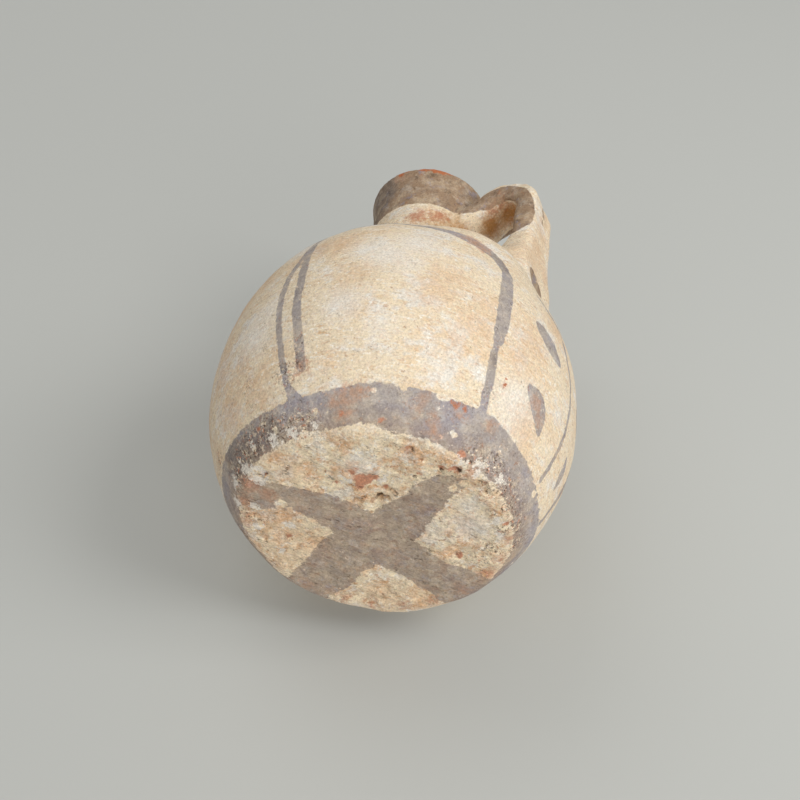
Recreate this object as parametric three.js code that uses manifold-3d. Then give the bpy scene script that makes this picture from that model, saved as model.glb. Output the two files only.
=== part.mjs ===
// Small hand-built terracotta jug: a flat clay base, a body raised in two sections,
// a luted neck with a separate lip coil, and one strap handle bedded in two wads of clay.
// Millimetres, +Z up. The origin is the middle of the flat underside and the handle points along +X.
import * as THREE from "three";
import { mergeVertices } from "three/addons/utils/BufferGeometryUtils.js";
import Module from "manifold-3d";

const wasm = await Module();
wasm.setup();

// Outside of the vessel: radii and heights of the points where its clay sections meet
const baseRadius = 31.4;
const baseEdgeRadius = 2.4;
const footRadius = 34.2;
const footHeight = 5;
const bellyRadius = 43;
const bellyHeight = 32.5;
const shoulderRadius = 22;
const shoulderHeight = 73.8;
const throatRadius = 13.8;
const lipFootRadius = 14.3;
const rimRadius = 15.6;
const height = 113.5;

// The lip and the straight collar under it are measured down from the rim
const lipHeight = 13.5;
const collarHeight = 12;
const lipFootHeight = height - lipHeight;
const throatHeight = lipFootHeight - collarHeight;

// How steeply the wall stands at the foot, at the shoulder and at the rim, in degrees from level
const footSlope = 57;
const shoulderSlope = 24;
const rimSlope = 76;

// How full each curve of the profile is drawn: the pull of its ends as a share of its length
const lowerFullness = 0.34;
const upperFullness = 0.36;
const neckFullness = 0.42;
const lipFullness = 0.4;

// Clay thicknesses, and the slip that fills each luted joint
const baseThickness = 8.5;
const bodyWall = 5.6;
const neckWall = 4.2;
const lipWall = 3.6;
const slipGap = 0.3;

// Strap handle: it springs from the neck just under the lip, rises to a crown below the rim,
// and its leg comes down to a foot on the shoulder that is set in from the belly
const strapWidth = 13;
const strapThickness = 6;
const strapCorner = 2.2;
const springDrop = 2;
const springRise = 26;
const crownDrop = 8.7;
const handleReach = 32;
const footInset = 10.7;
const elbowSize = 6;
const strapFullness = 0.37;
const handleBite = 2;
const springHeight = lipFootHeight - springDrop;
const crownHeight = height - crownDrop;
const handleFootRadius = bellyRadius - footInset;

// Wads of clay worked round the ends of the handle: how far each reaches past the strap on its bed
const wadEdge = 0.9;
const wadHollow = 1.5;
const springWadReach = 2.6;
const springWadRise = 2.7;
const footWadSide = 3.2;
const footWadInside = 8.5;
const footWadRise = 14;

// Facets
const turnSteps = 52;
const sectionSteps = 7;
const lipSteps = 5;
const edgeSteps = 4;
const cornerSteps = 3;
const strapSteps = 20;
const wadStep = 2.2;

const point = (radius, z) => new THREE.Vector2(radius, z);

// The way that a line runs outwards and up, at an angle from level.
function lean(degrees) {
  const angle = THREE.MathUtils.degToRad(degrees);
  return point(Math.cos(angle), Math.sin(angle));
}

// A curve that leaves one point along a way and comes into another along a second way.
function sweep(from, fromWay, to, toWay, pull) {
  const span = from.distanceTo(to) * pull;
  return new THREE.CubicBezierCurve(
    from,
    from.clone().addScaledVector(fromWay, span),
    to.clone().addScaledVector(toWay, -span),
    to,
  );
}

// Outer profile of the vessel, one smooth curve for each clay section, each ending where the next begins.
const upright = point(0, 1);
const downwards = point(0, -1);
const level = point(1, 0);
const foot = point(footRadius, footHeight);
const belly = point(bellyRadius, bellyHeight);
const shoulder = point(shoulderRadius, shoulderHeight);
const shoulderWay = lean(180 - shoulderSlope);
const throat = point(throatRadius, throatHeight);
const lipFoot = point(lipFootRadius, lipFootHeight);
const collarWay = lipFoot.clone().sub(throat).normalize();
const lipEdge = point(rimRadius, height - lipWall / 2);

const lowerCurve = sweep(foot, lean(footSlope), belly, upright, lowerFullness);
const upperCurve = sweep(belly, upright, shoulder, shoulderWay, upperFullness);
const neckCurve = new THREE.CurvePath();
neckCurve.add(sweep(shoulder, shoulderWay, throat, collarWay, neckFullness));
neckCurve.add(new THREE.LineCurve(throat, lipFoot));
const lipCurve = sweep(lipFoot, collarWay, lipEdge, lean(rimSlope), lipFullness);

const lowerBody = { curve: lowerCurve, wall: bodyWall, steps: sectionSteps };
const upperBody = { curve: upperCurve, wall: bodyWall, steps: sectionSteps + 2 };
const neck = { curve: neckCurve, wall: neckWall, steps: sectionSteps };
const lip = { curve: lipCurve, wall: lipWall, steps: lipSteps };

// Points along a section's outer face and its inner face, both ends drawn back by half the slip joint.
function wallFaces({ curve, wall, steps }) {
  const outer = [];
  const inner = [];
  for (let i = 0; i <= steps; i++) {
    const way = curve.getTangentAt(i / steps);
    const drawnBack = i === 0 ? slipGap / 2 : i === steps ? -slipGap / 2 : 0;
    const p = curve.getPointAt(i / steps).addScaledVector(way, drawnBack);
    outer.push(p);
    inner.push(point(p.x - way.y * wall, p.y + way.x * wall));
  }
  return { outer, inner };
}

// A half-round edge that carries an outer face over to the inner one.
function halfRound(from, to, steps) {
  const middle = from.clone().lerp(to, 0.5);
  const points = [];
  for (let i = 1; i < steps; i++) {
    points.push(from.clone().rotateAround(middle, (Math.PI * i) / steps));
  }
  return points;
}

// A profile turned about the vessel's axis.
function turned(profile) {
  return new THREE.LatheGeometry(profile, turnSteps).rotateX(Math.PI / 2);
}

function turnedRing(profile) {
  return turned([...profile, profile[0]]);
}

function wallGeometry(section) {
  const { outer, inner } = wallFaces(section);
  return turnedRing([...outer, ...inner.reverse()]);
}

// Base pad: flat underneath, worn round at the edge, with the wall's bevelled seat round its rim.
function baseGeometry() {
  const { outer, inner } = wallFaces(lowerBody);
  const drop = lowerCurve.getTangentAt(0).multiplyScalar(slipGap);
  const seatOuter = outer[0].clone().sub(drop);
  const seatInner = inner[0].clone().sub(drop);
  const edge = new THREE.Path();
  edge.moveTo(baseRadius - baseEdgeRadius, 0);
  const edgeTop = point(baseRadius, 0).lerp(seatOuter, baseEdgeRadius / seatOuter.y);
  edge.quadraticCurveTo(baseRadius, 0, edgeTop.x, edgeTop.y);
  return turned([point(0, 0), ...edge.getPoints(edgeSteps), seatOuter, seatInner, point(0, baseThickness)]);
}

function lipGeometry() {
  const { outer, inner } = wallFaces(lip);
  const edge = halfRound(outer[lipSteps], inner[lipSteps], lipSteps);
  return turnedRing([...outer, ...edge, ...inner.reverse()]);
}

// A closed mesh as a solid that can be joined and cut.
function solid(geometry) {
  const bare = geometry.clone();
  bare.deleteAttribute("normal");
  bare.deleteAttribute("uv");
  const merged = mergeVertices(bare);
  return new wasm.Manifold(
    new wasm.Mesh({
      numProp: 3,
      vertProperties: merged.attributes.position.array,
      triVerts: new Uint32Array(merged.index.array),
    }),
  );
}

function geometryOf(made) {
  const { vertProperties, triVerts } = made.getMesh();
  const geometry = new THREE.BufferGeometry();
  geometry.setAttribute("position", new THREE.BufferAttribute(vertProperties, 3));
  geometry.setIndex(new THREE.BufferAttribute(triVerts, 1));
  geometry.computeVertexNormals();
  return geometry;
}

// The whole vessel filled in and grown by the slip joint, to cut what is luted to its outside.
function vesselBlank() {
  const profile = [point(0, 0)];
  for (const { curve, steps } of [lowerBody, upperBody, neck, lip]) {
    for (let i = 0; i <= steps; i++) {
      const way = curve.getTangentAt(i / steps);
      const p = curve.getPointAt(i / steps);
      profile.push(point(p.x + way.y * slipGap, p.y - way.x * slipGap));
    }
  }
  profile.push(point(0, height));
  return solid(turned(profile));
}

// The point of a profile curve that lies at a height or at a radius.
function pointWhere(curve, key, value) {
  const rises = curve.getPointAt(1)[key] > curve.getPointAt(0)[key];
  let low = 0;
  let high = 1;
  for (let i = 0; i < 30; i++) {
    const u = (low + high) / 2;
    if (curve.getPointAt(u)[key] < value === rises) low = u;
    else high = u;
  }
  return curve.getPointAt(low);
}

const spring = pointWhere(neckCurve, "y", springHeight);
const springWay = lean(springRise);
const handleFoot = pointWhere(upperCurve, "x", handleFootRadius);

const inPlane = (p) => new THREE.Vector3(p.x, 0, p.y);

// Middle line of the strap, in the plane of the handle.
function strapPath() {
  const start = spring.clone().addScaledVector(springWay, -handleBite);
  const crown = point(handleReach - elbowSize, crownHeight);
  const elbow = point(handleReach, crownHeight - elbowSize);
  const end = handleFoot.clone().addScaledVector(downwards, handleBite);
  const arch = sweep(start, springWay, crown, level, strapFullness);
  const bend = sweep(crown, level, elbow, downwards, strapFullness);
  const leg = sweep(elbow, downwards, end, downwards, strapFullness);
  const path = new THREE.CurvePath();
  for (const part of [arch, bend, leg]) {
    const ends = [part.v0, part.v1, part.v2, part.v3].map(inPlane);
    path.add(new THREE.CubicBezierCurve3(...ends));
  }
  return path;
}

// Section of the strap, flat with rounded edges, grown all round by a margin.
function strapSection(margin) {
  const across = strapWidth / 2 - strapCorner;
  const through = strapThickness / 2 - strapCorner;
  const round = strapCorner + margin;
  const section = new THREE.Shape();
  section.absarc(across, through, round, 0, Math.PI / 2);
  section.absarc(-across, through, round, Math.PI / 2, Math.PI);
  section.absarc(-across, -through, round, Math.PI, 1.5 * Math.PI);
  section.absarc(across, -through, round, 1.5 * Math.PI, 2 * Math.PI);
  return section;
}

function strap(margin) {
  return solid(
    new THREE.ExtrudeGeometry(strapSection(margin), {
      curveSegments: cornerSteps,
      steps: strapSteps,
      extrudePath: strapPath(),
      bevelEnabled: false,
    }),
  );
}

// The strap's middle line at a distance along it, carried on straight past its ends.
function alongStrap(path, distance) {
  const length = path.getLength();
  const u = THREE.MathUtils.clamp(distance / length, 0, 1);
  const way = path.getTangentAt(u);
  const middle = path.getPointAt(u).addScaledVector(way, distance - u * length);
  return { middle, way };
}

// A wad of clay: a sleeve that bends with the strap and flares onto its bed, which lies at a distance
// along the strap. It thins out over its rise, forwards or back along the strap, and is rooted in the vessel.
// The reaches are how far it spreads past the strap beside it, inside the loop and outside it.
function wad({ bed, forwards, rise, root, reach }, vessel) {
  const path = strapPath();
  const across = new THREE.Vector3(0, -1, 0);
  const sleeve = new THREE.ExtrudeGeometry(strapSection(0), {
    curveSegments: cornerSteps,
    steps: Math.ceil((root + rise) / wadStep),
    depth: root + rise,
    bevelEnabled: false,
  });
  const place = sleeve.attributes.position;
  for (let i = 0; i < place.count; i++) {
    const up = place.getZ(i) - root;
    const flare = THREE.MathUtils.clamp(1 - up / rise, 0, 1) ** wadHollow;
    const beside = THREE.MathUtils.lerp(wadEdge, reach.beside, flare);
    const inside = THREE.MathUtils.lerp(wadEdge, reach.inside, flare);
    const outside = THREE.MathUtils.lerp(wadEdge, reach.outside, flare);
    const x = place.getX(i) * (1 + (2 * beside) / strapWidth);
    const y = place.getY(i) * (1 + (inside + outside) / strapThickness) + (outside - inside) / 2;
    const { middle, way } = alongStrap(path, forwards ? bed + up : bed - up);
    const outwards = way.multiplyScalar(forwards ? 1 : -1).cross(across);
    middle.addScaledVector(across, x).addScaledVector(outwards, y);
    place.setXYZ(i, middle.x, middle.y, middle.z);
  }
  return solid(sleeve).subtract(vessel).subtract(strap(slipGap));
}

// The vessel's outside radius at a height.
function radiusAt(z) {
  const section = [lowerCurve, upperCurve, neckCurve, lipCurve].find((curve) => curve.getPointAt(1).y > z);
  return section ? pointWhere(section, "y", z).x : 0;
}

// How far along the strap its back comes out of the neck.
function backComesOut() {
  const path = strapPath();
  const toBack = strapThickness / 2;
  let distance = handleBite;
  let { middle, way } = alongStrap(path, distance);
  while (middle.x - way.z * toBack < radiusAt(middle.z + way.x * toBack)) {
    distance += slipGap;
    ({ middle, way } = alongStrap(path, distance));
  }
  return distance;
}

function upperWad(vessel) {
  const reach = { beside: springWadReach, inside: springWadReach, outside: springWadReach };
  const rise = backComesOut() - handleBite + springWadRise;
  const root = throatRadius / 2;
  return wad({ bed: handleBite, forwards: true, rise, root, reach }, vessel);
}

function lowerWad(vessel) {
  const reach = { beside: footWadSide, inside: footWadInside, outside: wadEdge };
  const bed = strapPath().getLength() - handleBite - (shoulderHeight - handleFoot.y);
  const root = shoulderHeight - bellyHeight;
  return wad({ bed, forwards: false, rise: footWadRise, root, reach }, vessel);
}

const clay = (color) => new THREE.MeshStandardMaterial({ color, roughness: 0.9, metalness: 0 });
const slippedClay = clay("#dcc6a0");
const paintedClay = clay("#7d6a61");

function piece(name, geometry, material) {
  const mesh = new THREE.Mesh(geometry, material);
  mesh.name = name;
  return mesh;
}

const vessel = vesselBlank();
const jug = new THREE.Group();
jug.name = "terracotta_jug";
jug.add(
  piece("base_disc", baseGeometry(), slippedClay),
  piece("lower_body", wallGeometry(lowerBody), slippedClay),
  piece("upper_body", wallGeometry(upperBody), slippedClay),
  piece("neck", wallGeometry(neck), slippedClay),
  piece("lip", lipGeometry(), paintedClay),
  piece("strap_handle", geometryOf(strap(0).subtract(vessel)), slippedClay),
  piece("upper_luting_wad", geometryOf(upperWad(vessel)), slippedClay),
  piece("lower_luting_wad", geometryOf(lowerWad(vessel)), slippedClay),
);

export default jug;
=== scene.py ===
import math
from functools import partial

import bpy
import numpy as np
from mathutils import Matrix, Vector, noise


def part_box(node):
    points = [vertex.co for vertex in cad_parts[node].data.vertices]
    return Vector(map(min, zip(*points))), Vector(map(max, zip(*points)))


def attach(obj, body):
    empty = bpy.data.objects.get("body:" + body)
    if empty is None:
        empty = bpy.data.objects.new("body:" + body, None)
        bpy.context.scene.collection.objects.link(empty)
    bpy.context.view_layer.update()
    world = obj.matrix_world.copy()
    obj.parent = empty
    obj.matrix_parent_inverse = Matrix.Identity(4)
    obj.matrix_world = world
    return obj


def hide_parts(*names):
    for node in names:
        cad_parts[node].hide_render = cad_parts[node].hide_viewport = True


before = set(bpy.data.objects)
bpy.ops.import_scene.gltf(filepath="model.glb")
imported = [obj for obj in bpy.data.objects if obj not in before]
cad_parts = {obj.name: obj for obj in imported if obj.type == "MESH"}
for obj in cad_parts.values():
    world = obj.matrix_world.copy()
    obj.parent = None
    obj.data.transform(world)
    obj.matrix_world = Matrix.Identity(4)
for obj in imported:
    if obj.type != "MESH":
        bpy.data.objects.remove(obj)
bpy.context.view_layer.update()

# The jug is modelled in millimetres and scaled to metres when a piece is finished
MM = 0.001


def node_box(name):
    """Lowest and highest corner of a solid of the frame, in millimetres."""
    low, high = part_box(name)
    return low / MM, high / MM


# Heights and radii of the vessel's outside, from the frame and from the profile that the frame is turned on
BELLY_RADIUS = node_box("upper_body")[1].x
BELLY_HEIGHT = node_box("lower_body")[1].z
SHOULDER_HEIGHT = node_box("upper_body")[1].z
LIP_FOOT_HEIGHT = node_box("lip")[0].z
RIM_HEIGHT = node_box("lip")[1].z
FLAT_RADIUS = 28.2
EDGE_TOP = (32.2, 2.5)
FOOT = (34.2, 5.0)
SHOULDER_RADIUS = 22.0
THROAT = (13.8, 88.0)
LIP_FOOT_RADIUS = 14.4
RIM_RADIUS = 15.9
EDGE_SLOPE = 52
FOOT_SLOPE = 57
SHOULDER_SLOPE = 24
COLLAR_SLOPE = 87.6
RIM_SLOPE = 76

# How full each stretch of the profile is, and how many steps round the base's edge
FULLNESS = {"edge": 0.4, "belly": 0.34, "shoulder": 0.36, "collar": 0.42, "lip": 0.4}
EDGE_STEPS = 6

# Clay thicknesses, and how far in and up the rounded corner of the floor reaches
FLOOR = 8.5
BODY_WALL = 5.6
NECK_WALL = 4.2
LIP_WALL = 3.6
FLOOR_CORNER = (3, 1)

# Strap handle: section, middle line and the flare of its two ends
STRAP_WIDTH = node_box("strap_handle")[1].y * 2
STRAP_THICKNESS = 5.6
STRAP_CORNER = 2.2
STRAP_BITE = 2.0
STRAP_RUN_ON = 8
STRAP_RINGS = 48
SPRING = (14.2, 98.0)
SPRING_RISE = 26
CROWN_HEIGHT = 104.4
HANDLE_REACH = 31.7
ELBOW = 6.0
HANDLE_FOOT = (31.6, 66.6)
STRAP_FULLNESS = 0.37
FLARE_HOLLOW = 1.9
SPRING_FLARE = {"beside": 0.7, "inside": 0.5, "outside": 1.4, "length": 5}
FOOT_FLARE = {"beside": 3.2, "inside": 8.5, "outside": 0, "length": 16}
FOOT_FLARE_FULL = 5

# Where thumbs smoothed the handle's ends into the vessel: place, stretch, and inner and outer reach
LUTED = [((SPRING[0] + 1, 0, SPRING[1]), (1, 1, 1), 6, 11), ((27, 0, 70), (1.1, 1.1, 1.3), 9, 15)]

# Where fingers pinched the strap uneven: between which distances from the axis and heights this sets in
PINCHED_OUT = (17, 22)
PINCHED_UP = (80, 88)

# Where the potter's separate lumps of clay meet
BASE_SEAT = [(45.0, -2.0), (29.5, 8.05), (29.5, 12.0)]
NECK_SEAT = [(15.85, 60.0), (30.0, 91.8), (30.0, 125.0)]
FOOT_WAD_TOP = 84.0
SPRING_WAD_END = 20.5

# The cutters that part them: corners of the room round the handle, how far below the rim its cutter ends and
# how far that stands off the wall, and how far the others reach to the side and past the clay
HANDLE_ROOM = ((6, -20, 50), (60, 20, 120))
HANDLE_TOP = 1.5
STAND_OFF = 0.9
STAND_OFF_ABOVE = 0.4
CUT_REACH = 60
CLEAR = 5

# The jug lies on its side under the camera: which way is up from the surface under it,
# as an azimuth round the jug's axis from the handle, and how far its base dips
LYING_AZIMUTH = -65
BASE_DIP = 2
CAMERA_PLACE = (118.8, -188.9, -178.1)
CAMERA_TARGET = (5.1, -6.8, 31.3)
SENSOR = 36
LENS = 58.5

# Fineness of the modelled clay
TURN_STEPS = 128
VOXEL = 0.5
WEIGHT_STEPS = 20


def direction(degrees):
    """Unit vector at an angle from level in the profile's plane."""
    angle = math.radians(degrees)
    return np.array([math.cos(angle), math.sin(angle)])


def sweep(start, leaving, end, arriving, fullness, steps=14):
    """Points of a smooth curve between two points of a profile, leaving and arriving at angles from level."""
    start, end = np.array(start), np.array(end)
    pull = fullness * np.linalg.norm(end - start)
    first, second = start + pull * direction(leaving), end - pull * direction(arriving)
    t = np.linspace(0, 1, steps + 1)[1:, None]
    return (1 - t) ** 3 * start + 3 * (1 - t) ** 2 * t * first + 3 * (1 - t) * t**2 * second + t**3 * end


def outside_profile():
    """Radius and height of the outside, from the flat of the base to the outer edge of the lip."""
    belly = (BELLY_RADIUS, BELLY_HEIGHT)
    shoulder = (SHOULDER_RADIUS, SHOULDER_HEIGHT)
    lip_foot = (LIP_FOOT_RADIUS, LIP_FOOT_HEIGHT)
    lip_edge = (RIM_RADIUS, RIM_HEIGHT - LIP_WALL / 2)
    return np.vstack([
        [(FLAT_RADIUS, 0)],
        sweep((FLAT_RADIUS, 0), 0, EDGE_TOP, EDGE_SLOPE, FULLNESS["edge"], steps=EDGE_STEPS),
        [FOOT],
        sweep(FOOT, FOOT_SLOPE, belly, 90, FULLNESS["belly"]),
        sweep(belly, 90, shoulder, 180 - SHOULDER_SLOPE, FULLNESS["shoulder"], steps=22),
        sweep(shoulder, 180 - SHOULDER_SLOPE, THROAT, COLLAR_SLOPE, FULLNESS["collar"]),
        [lip_foot],
        sweep(lip_foot, COLLAR_SLOPE, lip_edge, RIM_SLOPE, FULLNESS["lip"], steps=8),
    ])


# The outside, and the way along it from the middle of the base to each of its points
OUTSIDE = outside_profile()
OUTSIDE_STEPS = np.linalg.norm(np.diff(OUTSIDE, axis=0), axis=1)
OUTSIDE_RUN = FLAT_RADIUS + np.concatenate([[0], np.cumsum(OUTSIDE_STEPS)])


def wall_at(height):
    """Thickness of the wall at a height."""
    return np.interp(height, [SHOULDER_HEIGHT - 4, SHOULDER_HEIGHT + 6, LIP_FOOT_HEIGHT, RIM_HEIGHT],
                     [BODY_WALL, NECK_WALL, NECK_WALL, LIP_WALL])


def radius_at(height):
    """Outside radius at a height."""
    return np.interp(height, OUTSIDE[:, 1], OUTSIDE[:, 0])


def on_side(azimuth, height):
    """Place on the outside at an azimuth in degrees from the handle and a height."""
    angle, radius = np.radians(azimuth), radius_at(height)
    return np.stack([radius * np.cos(angle), radius * np.sin(angle), np.asarray(height, float)], axis=-1)


def cavity_profile():
    """Radius and height of the inside, from the floor up, over the rounded lip and out of the mouth."""
    way = np.gradient(OUTSIDE, axis=0)
    way /= np.linalg.norm(way, axis=1, keepdims=True)
    inward = np.column_stack([-way[:, 1], way[:, 0]])
    inside = OUTSIDE + inward * wall_at(OUTSIDE[:, 1])[:, None]
    past_edge = np.arange(len(inside)) > EDGE_STEPS + 2
    wall = inside[(inside[:, 1] > FLOOR + FLOOR_CORNER[1]) & past_edge]
    edge, middle = OUTSIDE[-1], OUTSIDE[-1] - (LIP_WALL / 2, 0)
    over = [middle + LIP_WALL / 2 * direction(angle) for angle in range(165, 89, -15)]
    floor = (wall[0, 0] - FLOOR_CORNER[0], FLOOR)
    mouth = (edge[0] - LIP_WALL / 2, RIM_HEIGHT + CLEAR)
    return np.vstack([[floor], wall[:-1], over, [mouth]])


def strap_points():
    """Ends and turning points of the strap's middle line, each with its way on, in the handle's plane."""
    spring_way = direction(SPRING_RISE)
    return [
        (np.array(SPRING) - STRAP_BITE * spring_way, spring_way),
        (np.array([HANDLE_REACH - ELBOW, CROWN_HEIGHT]), direction(0)),
        (np.array([HANDLE_REACH, CROWN_HEIGHT - ELBOW]), direction(-90)),
        (np.array(HANDLE_FOOT) - (0, STRAP_BITE), direction(-90)),
    ]


def select_only(piece):
    """Makes a piece the only selected one and the active one."""
    bpy.ops.object.select_all(action="DESELECT")
    piece.select_set(True)
    bpy.context.view_layer.objects.active = piece


def apply_modifier(piece, kind, **settings):
    """Adds a modifier to a piece and applies it."""
    select_only(piece)
    modifier = piece.modifiers.new(kind, kind)
    for name, value in settings.items():
        setattr(modifier, name, value)
    bpy.ops.object.modifier_apply(modifier=modifier.name)
    return piece


def combine(piece, tool, operation):
    """Joins a piece with a tool or cuts it by one."""
    apply_modifier(piece, "BOOLEAN", object=tool, operation=operation, solver="MANIFOLD")


def raise_rings(stations, name):
    """A closed turned form, raised ring by ring from a disc of clay."""
    bpy.ops.object.select_all(action="DESELECT")
    radius, height = stations[0]
    bpy.ops.mesh.primitive_circle_add(
        vertices=TURN_STEPS, radius=radius, fill_type="NGON", location=(0, 0, height))
    made = bpy.context.object
    made.name = name
    bpy.ops.object.transform_apply(location=True)
    bpy.ops.object.mode_set(mode="EDIT")
    bpy.ops.mesh.select_all(action="SELECT")
    for next_radius, next_height in stations[1:]:
        bpy.ops.mesh.extrude_region_move(TRANSFORM_OT_translate={"value": (0, 0, next_height - height)})
        scale = next_radius / radius
        bpy.ops.transform.resize(value=(scale, scale, 1), center_override=(0, 0, next_height))
        radius, height = next_radius, next_height
    bpy.ops.object.mode_set(mode="OBJECT")
    return made


def flare(share):
    """How much of a flare is left at a share of its length, hollow like a thumbed fillet."""
    return np.clip(1 - share, 0, 1) ** FLARE_HOLLOW


def strap_section(distance, length):
    """Width, thickness and outward shift of the strap at a distance along it, flared at both ends."""
    at_spring = flare((distance - STRAP_BITE) / SPRING_FLARE["length"])
    at_foot = flare((length - STRAP_BITE - FOOT_FLARE_FULL - distance) / FOOT_FLARE["length"])
    beside, inside, outside = (
        at_spring * SPRING_FLARE[way] + at_foot * FOOT_FLARE[way] for way in ("beside", "inside", "outside"))
    return STRAP_WIDTH + 2 * beside, STRAP_THICKNESS + inside + outside, (outside - inside) / 2


def strap_line():
    """The strap's middle line as a curve."""
    bpy.ops.object.select_all(action="DESELECT")
    bpy.ops.curve.primitive_bezier_curve_add(location=(0, 0, 0))
    line = bpy.context.object
    spline = line.data.splines[0]
    points = strap_points()
    spline.bezier_points.add(len(points) - len(spline.bezier_points))
    spans = [np.linalg.norm(b[0] - a[0]) for a, b in zip(points, points[1:])]
    for i, (bezier, (place, way)) in enumerate(zip(spline.bezier_points, points)):
        before, after = spans[max(i - 1, 0)], spans[min(i, len(spans) - 1)]
        bezier.handle_left_type = bezier.handle_right_type = "FREE"
        for handle, reach in (("co", 0), ("handle_left", -before), ("handle_right", after)):
            x, z = place + way * reach * STRAP_FULLNESS
            setattr(bezier, handle, (x, 0, z))
    line.data.resolution_u = 32
    return line


def pull_strap():
    """The handle: a strap with rounded edges, drawn out straight, flared at its ends and bent over."""
    line = strap_line()
    length = line.data.splines[0].calc_length()
    bpy.ops.object.select_all(action="DESELECT")
    bpy.ops.mesh.primitive_plane_add(size=1, rotation=(0, math.pi / 2, 0), location=(0, 0, 0))
    strap = bpy.context.object
    bpy.ops.object.transform_apply(rotation=True)
    bpy.ops.object.mode_set(mode="EDIT")
    bpy.ops.mesh.select_all(action="SELECT")
    width, thickness, shift = strap_section(0, length)
    bpy.ops.transform.resize(value=(1, width, thickness), center_override=(0, 0, 0))
    bpy.ops.transform.translate(value=(0, 0, shift))
    bpy.ops.mesh.bevel(offset=STRAP_CORNER, segments=5, affect="VERTICES")
    place = 0
    for distance in np.linspace(0, length + STRAP_RUN_ON, STRAP_RINGS)[1:]:
        bpy.ops.mesh.extrude_region_move(TRANSFORM_OT_translate={"value": (distance - place, 0, 0)})
        next_width, next_thickness, next_shift = strap_section(distance, length)
        bpy.ops.transform.resize(
            value=(1, next_width / width, next_thickness / thickness), center_override=(distance, 0, shift))
        bpy.ops.transform.translate(value=(0, 0, next_shift - shift))
        place, width, thickness, shift = distance, next_width, next_thickness, next_shift
    bpy.ops.mesh.select_all(action="SELECT")
    bpy.ops.mesh.normals_make_consistent(inside=False)
    bpy.ops.object.mode_set(mode="OBJECT")
    apply_modifier(strap, "CURVE", object=line, deform_axis="POS_X")
    bpy.data.objects.remove(line)
    return strap


def vertex_places(piece):
    """Coordinates of a piece's vertices in its own units."""
    places = np.empty(len(piece.data.vertices) * 3, np.float32)
    piece.data.vertices.foreach_get("co", places)
    return places.reshape(-1, 3).astype(float)


def move_vertices(piece, places):
    """Puts a piece's vertices at new places."""
    piece.data.vertices.foreach_set("co", places.astype(np.float32).ravel())
    piece.data.update()


def weigh(piece, name, weights):
    """A vertex group with a weight for each vertex, in equal steps."""
    group = piece.vertex_groups.new(name=name)
    steps = np.round(np.clip(weights, 0, 1) * WEIGHT_STEPS).astype(int)
    for step in range(1, WEIGHT_STEPS + 1):
        chosen = np.flatnonzero(steps == step)
        if len(chosen):
            group.add(chosen.tolist(), step / WEIGHT_STEPS, "REPLACE")
    return name


def smooth_step(values, low, high):
    """Rises softly from 0 at the low value to 1 at the high one."""
    t = np.clip((values - low) / (high - low), 0, 1)
    return t * t * (3 - 2 * t)


def relief(piece, grain, height, group="", stretch=None, **settings):
    """Raises and sinks the surface by a cloudy pattern of a grain size and total height in millimetres.
    A stretch is how many times longer the grain is along an azimuth."""
    texture = bpy.data.textures.new("clay_relief", "CLOUDS")
    texture.noise_scale = grain
    for name, value in settings.items():
        setattr(texture, name, value)
    placing = {"texture_coords": "LOCAL"}
    if stretch:
        times, azimuth = stretch
        bpy.ops.object.select_all(action="DESELECT")
        bpy.ops.object.empty_add(rotation=(0, 0, math.radians(azimuth)))
        guide = bpy.context.object
        guide.scale = (times, 1, 1)
        bpy.context.view_layer.update()
        placing = {"texture_coords": "OBJECT", "texture_coords_object": guide}
    apply_modifier(
        piece, "DISPLACE", texture=texture, strength=height, mid_level=0.5, vertex_group=group, **placing)
    if stretch:
        bpy.data.objects.remove(guide)


def press_clay(piece, marks):
    """Moves the clay as a thumb or a knock does: a mark is a place, its reach and the push at its middle."""
    places = vertex_places(piece)
    for place, reach, push in marks:
        away = np.sum(((places - place) / reach) ** 2, axis=1)
        places += (np.clip(1 - away, 0, 1) ** 2)[:, None] * np.array(push)
    move_vertices(piece, places)


# Pattern of the layers that scale off: its spread and middle, counted in layers
FLAKE_SPREAD = 2.2
FLAKE_MIDDLE = 2.5


def flake_off(piece, grain, layer, weights):
    """Sinks the surface in thin layers that have scaled off, by a pattern of a grain size, with a layer's
    thickness in millimetres and a weight for each vertex."""
    places = vertex_places(piece)
    for index in np.flatnonzero(weights > 0.02):
        level = FLAKE_SPREAD * noise.fractal(Vector(places[index]) / grain, 0.9, 2.0, 3) + FLAKE_MIDDLE
        whole = math.floor(level)
        step = whole - FLAKE_MIDDLE + smooth_step(level - whole, 0.8, 1.0)
        places[index, 2] += layer * weights[index] * step
    move_vertices(piece, places)


# Where the base's edge stands out: azimuth, radius, height, reach and push
BASE_BULGES = [(108, 31, 1, 17, 1.7), (145, 31, 1, 16, 0.7), (75, 31, 1, 10, 0.5)]

# Where the shoulder is raised beside the handle: azimuth, height, reach and push, and how steeply it rises
SHOULDER_SWELLS = [(-27, 65.5, 16, 2.6), (-46, 64, 11, 0.9), (28, 68, 15, 1.2)]
SWELL_RISE = 1.1

# Worn places of the rim: azimuth, reach and depth
RIM_CHIPS = [(-80, 3.4, 0.8), (-40, 7, 0.4), (20, 5, 0.4), (130, 8, 0.5), (200, 4, 0.4)]

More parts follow.
